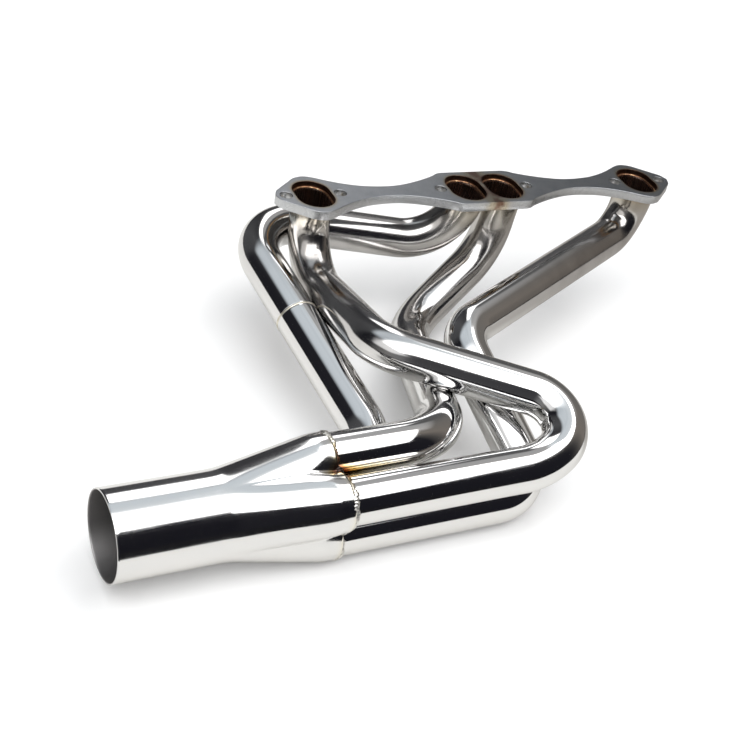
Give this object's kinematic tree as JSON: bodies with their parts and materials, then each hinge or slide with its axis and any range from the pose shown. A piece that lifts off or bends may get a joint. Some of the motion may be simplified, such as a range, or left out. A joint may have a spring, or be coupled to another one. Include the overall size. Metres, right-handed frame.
{
  "type": "exhaust manifold",
  "caption": "Tubular exhaust manifold: flat bolt-on flange with oval ports, long bent primary tubes merging into a lobed collector with a round slip-on outlet.",
  "frame": {"origin": "middle of the gasket face of the flange, on the line of the ports", "axes": "+Z out of the gasket face and up as the manifold stands, +X along the row of ports away from the collector outlet, -Y towards the collector"},
  "size_m": [0.7127, 0.4242, 0.152],
  "materials": {
    "flange_plate": "satin laser-cut plate, fine grain, heat tint between the centre ports",
    "polished_tube": "mirror-polished stainless tube, straw tint near the welds",
    "collector_steel": "mirror-polished stainless sheet, fine polishing streaks, dull inside",
    "weld_bead": "rippled weld bead, brown and gold heat tint"
  },
  "bodies": {
    "root": {"flange": "flange_plate", "primary_1_stub": "polished_tube", "primary_1_bend_1": "polished_tube", "primary_1_leg": "polished_tube", "primary_1_bend_2": "polished_tube", "primary_1_brace": "polished_tube", "primary_1_hairpin_in": "polished_tube", "primary_1_hairpin_out": "polished_tube", "primary_1_tail": "polished_tube", "primary_2_bend_1": "polished_tube", "primary_2_run": "polished_tube", "primary_2_bend_2": "polished_tube", "primary_2_leg_upper": "polished_tube", "primary_2_leg_lower": "polished_tube", "primary_2_bend_3": "polished_tube", "primary_2_tail": "polished_tube", "primary_3_stub": "polished_tube", "primary_3_bend_1": "polished_tube", "primary_3_leg": "polished_tube", "primary_3_bend_2": "polished_tube", "primary_3_drop": "polished_tube", "primary_3_bend_3": "polished_tube", "primary_3_tail": "polished_tube", "primary_4_stub": "polished_tube", "primary_4_bend_1": "polished_tube", "primary_4_leg": "polished_tube", "primary_4_bend_2": "polished_tube", "primary_4_drop": "polished_tube", "primary_4_bend_3": "polished_tube", "primary_4_tail": "polished_tube", "port_weld_1": "weld_bead", "port_weld_2": "weld_bead", "port_weld_3": "weld_bead", "port_weld_4": "weld_bead", "butt_weld": "weld_bead", "collector_cone": "collector_steel", "collector_outlet": "collector_steel", "collector_star": "weld_bead", "mouth_weld_1": "weld_bead", "mouth_weld_2": "weld_bead", "mouth_weld_3": "weld_bead", "mouth_weld_4": "weld_bead"}
  },
  "joints": []
}
